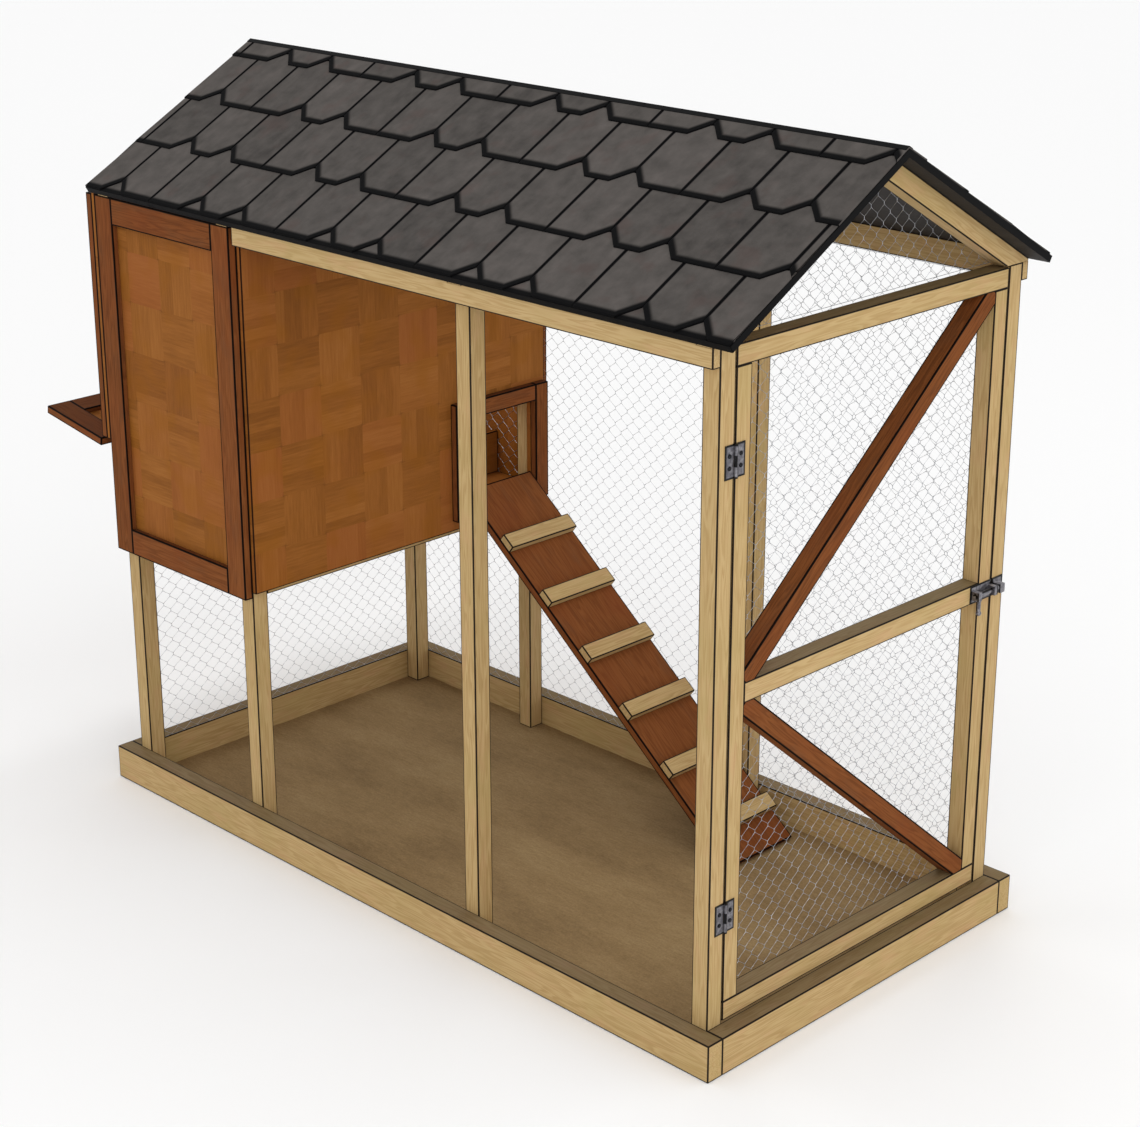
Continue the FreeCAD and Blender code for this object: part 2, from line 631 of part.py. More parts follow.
HANDLE_Y = f"({PLATE_START} + guide_inset + guide_width + handle_radius + bolt_play)"
bolt = [
    rod(
        "bolt_rod",
        (BOLT_X, f"{BOLT_BACK} + {BOLT_LENGTH}", BOLT_Z),
        "bolt_radius",
        BOLT_LENGTH,
        (1, 0, 0),
        "90",
    ),
    rod("bolt_handle", (BOLT_X, HANDLE_Y, f"{BOLT_Z} - handle_drop"), "handle_radius", "handle_drop"),
]
knob = doc.addObject("Part::Sphere", "bolt_knob")
bind(knob, "Radius", "knob_radius")
bolt.append(place(knob, (BOLT_X, HANDLE_Y, f"{BOLT_Z} - handle_drop")))
finish(fuse("bolt", bolt), "latch_bolt")

# ---- egg flap: modelled hanging closed from its pin line, then turned up to its open rest ----

FLAP_PIN = (f"-{NEST_OUT} - knuckle_radius", "0", "flap_line")
FLAP_THICK = "(trim_board - flap_clear)"
FLAP_BOTTOM = "(-flap_drop)"
FLAP_HEIGHT = "(flap_drop - flap_gap)"
flap_panel = board(
    "flap_infill",
    (
        f"knuckle_radius + {FLAP_THICK} - panel_ply",
        f"-{PLATE_Y} + trim_width - rabbet",
        f"{FLAP_BOTTOM} + trim_width - rabbet",
    ),
    ("panel_ply", f"2 * ({PLATE_Y} - trim_width + rabbet)", f"{FLAP_HEIGHT} - 2 * (trim_width - rabbet)"),
)
flap_boards = []
for piece, y, z, width, height in (
    ("stile_near", f"-{PLATE_Y}", FLAP_BOTTOM, "trim_width", FLAP_HEIGHT),
    ("stile_far", f"{PLATE_Y} - trim_width", FLAP_BOTTOM, "trim_width", FLAP_HEIGHT),
    ("rail_tip", f"-{PLATE_Y} + trim_width", FLAP_BOTTOM, END_RAIL, "trim_width"),
    ("rail_hinge", f"-{PLATE_Y} + trim_width", "-flap_gap - trim_width", END_RAIL, "trim_width"),
):
    blank = board(f"flap_{piece}_blank", ("knuckle_radius", y, z), (FLAP_THICK, width, height))
    flap_boards.append(boolean("Part::Cut", f"flap_{piece}", blank, flap_panel))

FLIP = (0, 1, -1)
wall_leaves = []
flap_leaves = []
flap_pins = []
FLAP_HINGE_SIDES = (("wall", -1, (0, 2), wall_leaves), ("flap", 1, (1,), flap_leaves))
for key, y in (("near", "-flap_hinge_spread"), ("far", "flap_hinge_spread")):
    for kind, direction, knuckles, leaves in FLAP_HINGE_SIDES:
        leaf = hinge_leaf(f"{kind}_{key}_leaf", direction, "flap_hinge_length", "flap_leaf_width", knuckles)
        leaves.append(place(leaf, ("0", y, "0"), FLIP, "180"))
        heads = group(
            f"{kind}_{key}_heads",
            hinge_screws(f"{kind}_{key}_screw", direction, "flap_hinge_length", "flap_leaf_width"),
        )
        leaves.append(place(heads, ("0", y, "0"), FLIP, "180"))
    flap_pins.append(rod(f"flap_pin_{key}", ("0", f"{y} + flap_hinge_length / 2", "0"), "hinge_pin_radius",
                         "flap_hinge_length", (1, 0, 0), "90"))
finish(place(group("wall_leaves", wall_leaves), FLAP_PIN), "flap_hinge_wall_leaves")
finish(place(group("flap_pins", flap_pins), FLAP_PIN), "flap_hinge_pins")
finish(place(group("flap_boards", flap_boards), FLAP_PIN, (0, 1, 0), "flap_open"), "flap_frame")
finish(place(group("flap_panel_turned", [flap_panel]), FLAP_PIN, (0, 1, 0), "flap_open"), "flap_panel")
finish(place(group("flap_leaves", flap_leaves), FLAP_PIN, (0, 1, 0), "flap_open"), "flap_hinge_leaves")

# ---- check and write ----

doc.recompute()
for item in doc.Objects:
    for fault in ("Invalid", "Error"):
        if fault in item.State:
            raise RuntimeError(f"{item.Name} is {fault}")
for item in parts:
    if item.Shape.isNull() or not item.Shape.isValid():
        raise RuntimeError(f"{item.Label} has no valid shape")

os.makedirs("parts", exist_ok=True)
for item in parts:
    item.Shape.exportStep(f"parts/{item.Label}.step")
    size = item.Shape.BoundBox
    print(f"{item.Label:24s} {len(item.Shape.Solids):2d} solids, {item.Shape.Volume / 1000:9.1f} cm3, "
          f"{size.XLength:7.1f} x {size.YLength:6.1f} x {size.ZLength:7.1f} mm")
print(len(parts), "sub-parts")
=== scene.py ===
# %% [markdown]
# # A timber chicken coop
# The coop is a box frame of square-planed pine on a base of rails. A raised nesting box fills one end,
# a netted run fills the rest, and one gable roof of felt shingles covers both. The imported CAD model
# already holds every board at its real size and place, so this script never moves anything: it copies
# the boards to round their edges, models the shingles, netting, screws and litter, and gives every
# piece its finish.

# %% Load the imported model
import json
import math
import random

import bmesh
import bpy
from mathutils import Matrix, Vector


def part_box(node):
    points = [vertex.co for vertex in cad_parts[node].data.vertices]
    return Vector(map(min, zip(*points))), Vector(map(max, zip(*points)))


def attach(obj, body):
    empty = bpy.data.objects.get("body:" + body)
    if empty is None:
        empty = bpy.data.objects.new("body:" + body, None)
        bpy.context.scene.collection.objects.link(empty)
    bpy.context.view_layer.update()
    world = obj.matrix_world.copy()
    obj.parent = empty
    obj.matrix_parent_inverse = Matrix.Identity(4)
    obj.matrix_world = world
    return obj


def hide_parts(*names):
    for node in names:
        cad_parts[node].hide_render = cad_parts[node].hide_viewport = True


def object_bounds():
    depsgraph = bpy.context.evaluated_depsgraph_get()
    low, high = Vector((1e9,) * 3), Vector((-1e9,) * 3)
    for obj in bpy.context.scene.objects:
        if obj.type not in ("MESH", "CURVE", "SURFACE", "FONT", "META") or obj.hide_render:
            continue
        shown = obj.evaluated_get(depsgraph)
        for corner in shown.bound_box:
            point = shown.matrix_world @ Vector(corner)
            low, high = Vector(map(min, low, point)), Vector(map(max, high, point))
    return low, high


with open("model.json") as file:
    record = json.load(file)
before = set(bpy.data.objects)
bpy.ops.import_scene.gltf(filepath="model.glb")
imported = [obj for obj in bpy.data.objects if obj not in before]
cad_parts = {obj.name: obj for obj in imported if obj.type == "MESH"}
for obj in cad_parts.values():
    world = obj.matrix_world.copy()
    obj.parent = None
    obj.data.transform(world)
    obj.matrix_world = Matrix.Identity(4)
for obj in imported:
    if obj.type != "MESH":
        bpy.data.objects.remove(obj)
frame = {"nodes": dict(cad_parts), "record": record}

cad_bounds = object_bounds()
BODY_OF = {node: body for body, nodes in frame["record"]["behaviour"]["bodies"].items() for node in nodes}
SLOT_OF = {part["node"]: part["material_slot"] for part in frame["record"]["subparts"]}
print("CAD box:", cad_bounds)

# %% [markdown]
# ## Shader sums
# A procedural finish is a sum: grain plus blotches, minus a dark line at the edge. Wiring Math nodes by
# hand hides that, so a small class wraps a socket and lets the sum be written as a sum.

# %% A socket that can be added and multiplied


class Value:
    """A socket of one finish. Arithmetic on it adds the Math nodes."""

    def __init__(self, finish, socket):
        self.finish = finish
        self.socket = socket

    def math(self, operation, *inputs):
        return self.finish.node("ShaderNodeMath", {"operation": operation}, dict(enumerate(inputs)))

    def __add__(self, other):
        return self.math("ADD", self, other)

    def __sub__(self, other):
        return self.math("SUBTRACT", self, other)

    def __rsub__(self, other):
        return self.math("SUBTRACT", other, self)

    def __mul__(self, other):
        return self.math("MULTIPLY", self, other)

    __radd__ = __add__
    __rmul__ = __mul__

    def floor(self):
        return self.math("FLOOR", self)

    def fract(self):
        return self.math("FRACT", self)

    def below(self, other):
        return self.math("MINIMUM", self, other)

    def above(self, other):
        return self.math("MAXIMUM", self, other)


class Finish:
    """One procedural material around a Principled shader."""

    def __init__(self, name, **fixed):
        self.material = bpy.data.materials.new(name)
        self.material.use_nodes = True
        self.nodes = self.material.node_tree.nodes
        self.links = self.material.node_tree.links
        self.shader = next(node for node in self.nodes if node.type == "BSDF_PRINCIPLED")
        for socket, value in fixed.items():
            self.shader.inputs[socket.replace("_", " ")].default_value = value

    def node(self, kind, settings=None, values=None, output=0):
        """Adds any node: its settings first, then the values or links of its sockets."""
        made = self.nodes.new(kind)
        for setting, value in (settings or {}).items():
            if setting == "stops":
                ramp = made.color_ramp.elements
                while len(ramp) < len(value):
                    ramp.new(1.0)
                for element, (position, colour) in zip(ramp, value):
                    element.position = position
                    element.color = (*colour, 1.0)
            else:
                setattr(made, setting, value)
        for socket, value in (values or {}).items():
            if isinstance(value, Value):
                self.links.new(value.socket, made.inputs[socket])
            else:
                made.inputs[socket].default_value = value
        return Value(self, made.outputs[output])

    def attribute(self, name, output="Vector"):
        return self.node("ShaderNodeAttribute", {"attribute_name": name}, output=output)

    def vector(self, operation, first, second):
        return self.node("ShaderNodeVectorMath", {"operation": operation}, {0: first, 1: second})

    def parts(self, vector):
        split = self.node("ShaderNodeSeparateXYZ", values={0: vector}).socket.node
        return [Value(self, socket) for socket in split.outputs]

    def noise(self, at, scale, detail=3.0, roughness=0.55):
        values = {"Vector": at, "Scale": scale, "Detail": detail, "Roughness": roughness}
        return self.node("ShaderNodeTexNoise", values=values, output="Fac")

    def chance(self, at):
        """A random number that is constant where at is constant."""
        return self.node("ShaderNodeTexWhiteNoise", {"noise_dimensions": "3D"}, {"Vector": at}, output="Value")

    def smooth(self, value, low, high):
        """0 where value is at low, 1 where it is at high, smooth between."""
        values = {"Value": value, "From Min": low, "From Max": high}
        return self.node("ShaderNodeMapRange", {"interpolation_type": "SMOOTHSTEP"}, values)

    def ramp(self, value, *stops):
        return self.node("ShaderNodeValToRGB", {"stops": stops}, {"Fac": value})

    def mix(self, factor, first, second):
        values = {"Factor": factor}
        for key, colour in (("A", first), ("B", second)):
            values[key] = colour if isinstance(colour, Value) else (*colour, 1.0)
        made = self.node("ShaderNodeMix", {"data_type": "RGBA"}).socket.node
        for key, value in values.items():
            sockets = [socket for socket in made.inputs if socket.name == key]
            socket = sockets[0] if key == "Factor" else next(s for s in sockets if s.type == "RGBA")
            if isinstance(value, Value):
                self.links.new(value.socket, socket)
            else:
                socket.default_value = value
        return Value(self, next(socket for socket in made.outputs if socket.type == "RGBA"))

    def feed(self, socket, value):
        self.links.new(value.socket, self.shader.inputs[socket])

    def bump(self, height, strength, distance):
        values = {"Height": height, "Strength": strength, "Distance": distance}
        self.feed("Normal", self.node("ShaderNodeBump", values=values, output="Normal"))


def screen(red, green, blue):
    """A colour given as it looks on screen, 0 to 255, turned into the linear light that shaders use."""
    return tuple(((part / 255 + 0.055) / 1.055) ** 2.4 if part > 10 else part / 255 / 12.92
                 for part in (red, green, blue))


# %% [markdown]
# ## Timber finishes
# Every board carries its own measure: where a point is along, across and through the board, the board's
# half sizes, and a random number. With those, one finish serves posts, rafters and braces alike: the
# grain runs along each board, no two boards match, and the arris, where two faces meet, is drawn as a
# dark line. Faces that point up are darkened too, which is painted shade.

# %% Wood with its grain along the board
EDGE_LINE = 0.0024          # width of the dark line on each side of an arris, metres


def board_grain(finish):
    """Point in the board, shifted by the board's own random number, and that number."""
    seed = finish.attribute("board_seed", "Fac")
    shift = finish.node("ShaderNodeCombineXYZ", values={0: seed * 9.7, 1: seed * 3.1, 2: seed * 5.3})
    return finish.vector("ADD", finish.attribute("board_at"), shift), seed


def arris_line(finish, width=EDGE_LINE):
    """1 on the arrises of a board and 0 inside its faces. On a face one of the three distances to the
    board's sides is nothing, so the distance to the nearest arris is the second smallest of them."""
    inside = finish.node("ShaderNodeVectorMath", {"operation": "ABSOLUTE"}, {0: finish.attribute("board_at")})
    along, across, through = finish.parts(finish.vector("SUBTRACT", finish.attribute("board_half"), inside))
    second = along.below(across).above(along.above(across).below(through))
    return 1 - finish.smooth(second, width * 0.75, width * 1.25)


def wood(name, pale, middle, dark, line, blotch, top_face_shade, roughness, edge=EDGE_LINE, gloss=0.15):
    finish = Finish(name, Specular_IOR_Level=gloss)
    at, seed = board_grain(finish)
    fibres = finish.noise(finish.vector("MULTIPLY", at, (3.0, 90.0, 90.0)), 4.0, detail=5.0, roughness=0.6)
    rings = finish.noise(finish.vector("MULTIPLY", at, (1.1, 16.0, 16.0)), 3.2, detail=2.0)
    bands = (rings * 9.0).fract()
    rise = finish.smooth(bands, 0.0, 0.75) * finish.smooth(1 - bands, 0.0, 0.25)
    figure = rise * 0.35 + fibres * 0.45 + seed * 0.16
    colour = finish.ramp(figure, (0.12, pale), (0.45, middle), (0.82, dark))
    clouds = finish.noise(at, 5.0, detail=2.0)
    colour = finish.mix(finish.smooth(clouds, 0.42, 0.75) * 0.5, colour, blotch[0])
    stains = finish.noise(finish.vector("MULTIPLY", at, (1.0, 3.0, 3.0)), 11.0, detail=3.0)
    colour = finish.mix(finish.smooth(stains, 0.5, 0.72) * 0.4, colour, blotch[1])
    # Faces that point up are made darker by the given factor: painted shade.
    level = finish.parts(finish.node("ShaderNodeTexCoord", output="Normal"))[2]
    colour = finish.mix(finish.smooth(level, 0.86, 0.96), colour, finish.vector("MULTIPLY", colour, top_face_shade))
    finish.feed("Base Color", finish.mix(arris_line(finish, edge), colour, line))
    finish.feed("Roughness", fibres * 0.22 + (roughness - 0.08))
    finish.bump(fibres * 0.6 + rise * 0.4, 0.35, 0.0006)
    return finish.material


# The factors given after the blotches darken the faces that point up: painted shade.
PINE = wood(
    "pine", screen(192, 165, 118), screen(181, 152, 104), screen(162, 131, 84), screen(24, 16, 8),
    (screen(170, 148, 94), screen(188, 148, 108)), top_face_shade=(0.43, 0.43, 0.46), roughness=0.66,
)
BROWN = wood(
    "brown_timber", screen(130, 78, 41), screen(118, 68, 34), screen(94, 53, 26), screen(12, 6, 3),
    (screen(118, 60, 30), screen(100, 64, 40)), top_face_shade=(0.62, 0.6, 0.6), roughness=0.7, edge=0.003, gloss=0.05,
)
print("timber finishes:", PINE.name, BROWN.name)

# %% [markdown]
# ## Parquet-faced plywood
# The box is closed with plywood that has a basket-weave face: squares of five short fingers, each square
# turned a quarter from its neighbours. The pattern is arithmetic on the board's own measure: the whole
# part of the position says which square, its parity says which way the fingers lie, and a random number
# per square and per finger sets the tone.

# %% Basket-weave plywood
SQUARE = 0.108
FINGERS = 5


def parquet(name):
    finish = Finish(name, Specular_IOR_Level=0.07)
    at, seed = board_grain(finish)
    along, across, through = finish.parts(at)
    column = (along * (1 / SQUARE)).floor()
    row = (across * (1 / SQUARE)).floor()
    turned = ((column + row) * 0.5).fract() * 2.0
    u = (along * (1 / SQUARE)).fract()
    v = (across * (1 / SQUARE)).fract()
    side = u * turned + v * (1 - turned)
    length = v * turned + u * (1 - turned)
    finger = (side * FINGERS).floor()
    square_tone = finish.chance(finish.node("ShaderNodeCombineXYZ", values={0: column, 1: row, 2: seed * 40.0}))
    finger_tone = finish.chance(finish.node(
        "ShaderNodeCombineXYZ", values={0: column * 7.0 + finger, 1: row * 3.0 + 0.5, 2: 2.0},
    ))
    fibre_at = finish.node(
        "ShaderNodeCombineXYZ", values={0: length * 1.1 + column * 3.7, 1: side * 16.0 + row * 5.1, 2: square_tone * 20.0},
    )
    fibres = finish.noise(fibre_at, 1.6, detail=4.0, roughness=0.62)
    clouds = finish.noise(at, 9.0, detail=2.0)
    tone = fibres * 0.62 + finger_tone * 0.2 + square_tone * 0.2 + clouds * 0.12
    colour = finish.ramp(
        tone, (0.22, screen(108, 63, 23)), (0.48, screen(131, 80, 32)), (0.66, screen(145, 91, 40)),
        (0.9, screen(158, 104, 51)),
    )
    colour = finish.mix(finish.smooth(square_tone, 0.55, 1.0) * 0.4, colour, screen(138, 70, 38))
    warm = finish.smooth(finish.noise(at, 14.0, detail=1.0), 0.45, 0.7) * 0.35
    colour = finish.mix(warm, colour, screen(136, 82, 14))
    near_side = finish.smooth(side.below(1 - side) + length.below(1 - length) * 0.2, 0.0, 0.035)
    colour = finish.mix((1 - near_side) * 0.45, colour, screen(80, 44, 16))
    finish.feed("Base Color", finish.mix(arris_line(finish), colour, screen(30, 12, 4)))
    finish.feed("Roughness", fibres * 0.2 + 0.6)
    finish.bump(fibres * 0.5 + near_side, 0.25, 0.0005)
    return finish.material


PARQUET = parquet("parquet_ply")


def plain_ply(name):
    """Plywood under black weatherproofing: broad, soft figure that barely shows."""
    finish = Finish(name, Specular_IOR_Level=0.3)
    at = finish.node("ShaderNodeTexCoord", output="Object")
    figure = finish.noise(finish.vector("MULTIPLY", at, (2.0, 14.0, 14.0)), 3.0, detail=4.0)
    fine = finish.noise(finish.vector("MULTIPLY", at, (6.0, 120.0, 120.0)), 3.0, detail=3.0)
    tone = figure * 0.7 + fine * 0.3
    finish.feed("Base Color", finish.ramp(tone, (0.25, screen(38, 35, 34)), (0.75, screen(20, 19, 19))))
    finish.feed("Roughness", fine * 0.2 + 0.6)
    finish.bump(fine, 0.2, 0.0004)
    return finish.material


ROOF_PLY = plain_ply("roof_ply")
print("sheet finishes:", PARQUET.name, ROOF_PLY.name)

# %% [markdown]
# ## Shingle, metal, wire and litter
# The shingles are felt faced with crushed slate, so they are matt, speckled and a little uneven in tone.
# The dark rim of each tab comes from a measure stored on the tab; along its butt and clipped corners
# it is painted shadow. The hardware is zinc plated steel, which is blotchy rather than mirror bright,
# and the drip edges are black painted steel.

# %% Finishes for the roof, the hardware and the floor
TAB = 0.1344                # width of a shingle tab, metres
TAB_GAP = 0.0014            # slot between two tabs
TAB_CLIP = 0.036            # how far a clipped corner is cut back


def slate_felt(name):
    """Crushed slate on felt. The outline follows each tab's own measure: thin down its sides, broad and
    soft along its butt and its clipped corners, where it is painted shadow."""
    finish = Finish(name, Specular_IOR_Level=0.1)
    at = finish.node("ShaderNodeTexCoord", output="Object")
    across, up, _ = finish.parts(finish.attribute("tab_at"))
    clip_left, clip_right, seed = finish.parts(finish.attribute("tab_kind"))
    half = (TAB - TAB_GAP) / 2
    to_side = half - across.math("ABSOLUTE", across)
    to_left = (up + across) * math.sqrt(0.5) + (half - TAB_CLIP) * math.sqrt(0.5) + (1 - clip_left)
    to_right = (up - across) * math.sqrt(0.5) + (half - TAB_CLIP) * math.sqrt(0.5) + (1 - clip_right)
    to_butt = up.below(to_left).below(to_right)
    # The broad soft band along the butt and clipped corners is painted shadow; the side lines are thin.
    outline = (1 - finish.smooth(to_butt, 0.008, 0.0172)).above(1 - finish.smooth(to_side, 0.0024, 0.0046))
    specks = finish.noise(at, 900.0, detail=2.0)
    mottle = finish.noise(at, 26.0, detail=4.0, roughness=0.6)
    streak = finish.noise(finish.vector("MULTIPLY", at, (1.0, 0.35, 0.35)), 60.0, detail=2.0)
    tone = mottle * 0.5 + streak * 0.2 + specks * 0.2 + seed * 0.14
    colour = finish.ramp(tone, (0.3, screen(60, 57, 55)), (0.52, screen(80, 76, 73)), (0.78, screen(98, 92, 89)))
    rust = finish.smooth(finish.noise(at, 17.0, detail=2.0), 0.55, 0.75) * 0.35
    colour = finish.mix(rust, colour, screen(84, 68, 64))
    finish.feed("Base Color", finish.mix(outline, colour, screen(3, 3, 4)))
    finish.feed("Roughness", specks * 0.15 + 0.82)
    finish.bump(specks * 0.6 + mottle * 0.5, 0.5, 0.0008)
    return finish.material


def painted_black(name):
    finish = Finish(name, Specular_IOR_Level=0.08)
    at = finish.node("ShaderNodeTexCoord", output="Object")
    scuffs = finish.smooth(finish.noise(at, 40.0, detail=4.0), 0.6, 0.85)
    finish.feed("Base Color", finish.mix(scuffs * 0.3, screen(3, 3, 4), screen(26, 25, 25)))
    finish.feed("Roughness", scuffs * 0.3 + 0.6)
    finish.bump(finish.noise(at, 300.0), 0.08, 0.0003)
    return finish.material


def zinc(name, bright, dull, scale, roughness=0.34, outline=None):
    finish = Finish(name, Metallic=0.7)
    at = finish.node("ShaderNodeTexCoord", output="Object")
    spangle = finish.noise(at, scale, detail=3.0)
    stain = finish.smooth(finish.noise(at, scale * 0.2, detail=4.0), 0.5, 0.8)
    colour = finish.mix(finish.smooth(spangle, 0.35, 0.7), dull, bright)
    colour = finish.mix(stain * 0.5, colour, dull)
    if outline:
        colour = finish.mix(arris_line(finish, outline), colour, screen(10, 10, 12))
    finish.feed("Base Color", colour)
    finish.feed("Roughness", stain * 0.25 + roughness)
    finish.bump(spangle, 0.1, 0.0002)
    return finish.material


def litter(name):
    finish = Finish(name, Specular_IOR_Level=0.15)
    at = finish.node("ShaderNodeTexCoord", output="Object")
    drift = finish.noise(finish.vector("MULTIPLY", at, (1.0, 2.6, 1.0)), 2.6, detail=4.0, roughness=0.6)
    straw = finish.noise(finish.vector("MULTIPLY", at, (20.0, 90.0, 1.0)), 2.0, detail=4.0)
    crumbs = finish.noise(at, 240.0, detail=3.0, roughness=0.7)
    tone = drift * 0.5 + straw * 0.22 + crumbs * 0.32
    colour = finish.ramp(tone, (0.34, screen(110, 88, 58)), (0.52, screen(140, 115, 79)), (0.72, screen(164, 140, 100)))
    finish.feed("Base Color", colour)
    finish.feed("Roughness", crumbs * 0.1 + 0.85)
    finish.bump(crumbs * 0.7 + straw * 0.5, 0.6, 0.002)
    return finish.material


SHINGLE = slate_felt("shingle")
BLACK = painted_black("black_metal")
ZINC = zinc("zinc_hardware", screen(138, 136, 140), screen(92, 90, 96), 120.0, outline=0.0034)
WIRE = zinc("galvanised_wire", screen(188, 190, 194), screen(140, 144, 150), 90.0, roughness=0.45)
SCREW = zinc("screw_steel", screen(40, 40, 46), screen(14, 14, 18), 400.0)
LITTER = litter("litter_mat")
print("finishes made:", len(bpy.data.materials))

# %% [markdown]
# ## Boards
# A sawn and planed board is never dead sharp: the planer leaves an arris of a millimetre or so that
# catches the light. Boards could be modelled again from cubes, but the CAD pieces already have the right
# cuts at rafters, rabbets and braces. So each is copied, its loose triangles are merged into whole
# faces, and its edges get a small bevel. Then the boards are parted for a moment, so that each can be
# given its own measure.

# %% Copy a CAD piece and round its edges
ARRIS = 0.0012
MERGE = 0.00002
random.seed(11)


def select_only(*objects):
    bpy.ops.object.select_all(action="DESELECT")
    for item in objects:
        item.select_set(True)
    bpy.context.view_layer.objects.active = objects[0]


def number_solids(mesh):
    """Marks each face with the number of its solid. The triangles come solid by solid, and a solid is
    complete once each of its edges has been walked both ways."""
    open_edges = set()
    number = 0
    for face in mesh.polygons:
        corners = [tuple(round(part * 1e6) for part in mesh.vertices[index].co) for index in face.vertices]
        for edge in zip(corners, corners[1:] + corners[:1]):
            back = edge[::-1]
            if back in open_edges:
                open_edges.remove(back)
            else:
                open_edges.add(edge)
        face.material_index = number
        if not open_edges:
            number += 1
    return number


def solids_of(node, name):
    """A copy of a CAD node as one object for each solid, its triangles merged into whole faces."""
    copy = bpy.data.objects.new(name, frame["nodes"][node].data.copy())
    copy.data.materials.clear()
    for _ in range(number_solids(copy.data)):
        copy.data.materials.append(None)
    bpy.context.collection.objects.link(copy)
    select_only(copy)
    bpy.ops.mesh.separate(type="MATERIAL")
    solids = list(bpy.context.selected_objects)
    for solid in solids:
        solid.data.materials.clear()
        solid.data.polygons.foreach_set("material_index", [0] * len(solid.data.polygons))
        select_only(solid)
        bpy.ops.object.mode_set(mode="EDIT")
        bpy.ops.mesh.select_all(action="SELECT")
        bpy.ops.mesh.remove_doubles(threshold=MERGE)
        bpy.ops.mesh.dissolve_limited(angle_limit=math.radians(0.5))
        bpy.ops.object.mode_set(mode="OBJECT")
    return solids


def join_as(pieces, name):
    select_only(*pieces)
    if len(pieces) > 1:
        bpy.ops.object.join()
    joined = bpy.context.view_layer.objects.active
    joined.name = name
    return joined


def round_edges(piece, width, segments=2):
    select_only(piece)
    bpy.ops.object.mode_set(mode="EDIT")
    bpy.ops.mesh.select_all(action="SELECT")
    bpy.ops.mesh.bevel(offset=width, segments=segments, affect="EDGES", clamp_overlap=True)
    bpy.ops.object.mode_set(mode="OBJECT")


def board_axes(mesh):
    """Along, across and through: the longest edge, and the normal of the widest face."""
    widest = max(mesh.polygons, key=lambda face: face.area)
    through = widest.normal.copy()
    ends = [(mesh.vertices[a].co, mesh.vertices[b].co) for a, b in widest.edge_keys]
    start, end = max(ends, key=lambda pair: (pair[1] - pair[0]).length)
    along = (end - start).normalized()
    return along, through.cross(along).normalized(), through


def set_attribute(mesh, name, kind, values):
    layer = mesh.attributes.new(name, kind, "POINT")
    layer.data.foreach_set("vector" if kind == "FLOAT_VECTOR" else "value", values)


def measure_board(piece):
    """Stores where each point of a board is, the board's half sizes and a random number."""
    mesh = piece.data
    axes = board_axes(mesh)
    places = [[vertex.co.dot(axis) for axis in axes] for vertex in mesh.vertices]
    middles = [(min(column) + max(column)) / 2 for column in zip(*places)]
    halves = [(max(column) - min(column)) / 2 for column in zip(*places)]
    at = [value - middle for place in places for value, middle in zip(place, middles)]
    count = len(mesh.vertices)
    set_attribute(mesh, "board_at", "FLOAT_VECTOR", at)
    set_attribute(mesh, "board_half", "FLOAT_VECTOR", halves * count)
    set_attribute(mesh, "board_seed", "FLOAT", [random.random()] * count)


def finish_piece(piece, material, nodes):
    """Gives a piece its material and the body it rides on, and hides the CAD nodes it stands for."""
    piece.data.materials.clear()
    piece.data.materials.append(material)
    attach(piece, BODY_OF[nodes[0]])
    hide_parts(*nodes)
    return piece


def stock(node, material, name, arris, segments=2):
    """A CAD node's pieces with rounded edges, each with its own measure."""
    boards = solids_of(node, name)
    for board in boards:
        round_edges(board, arris, segments)
        measure_board(board)
    return finish_piece(join_as(boards, name), material, [node])


# %% Make every board of the coop
BOARD_FINISHES = {"pine": PINE, "brown_timber": BROWN, "panel_ply": PARQUET}
made = []
for node, slot in SLOT_OF.items():
    if slot in BOARD_FINISHES:
        board = stock(node, BOARD_FINISHES[slot], f"{node}_planed", ARRIS)
        bpy.ops.object.shade_flat()
        made.append(board)
print(len(made), "board pieces,", sum(len(piece.data.polygons) for piece in made), "faces")

# %% [markdown]
# ## Shingles
# Felt shingles come as strips cut into tabs. Here two kinds of tab alternate: a single one with both
# lower corners clipped, and a pair that shares one straight butt with only its outer corners clipped.
# The next course is shifted by half the repeat. Each tab starts as a plane, has its corners clipped by a
# vertex bevel, is extruded to its thickness and gets an inset rim. The three kinds are modelled once and
# copied down the slope, each course lying on the head of the one below.

# %% Model the three kinds of tab
TAB_EXPOSURE = 0.152
TAB_HEAD = 0.034
TAB_FELT = 0.0036
TAB_ARRIS = 0.0022
TAB_LENGTH = TAB_EXPOSURE + TAB_HEAD


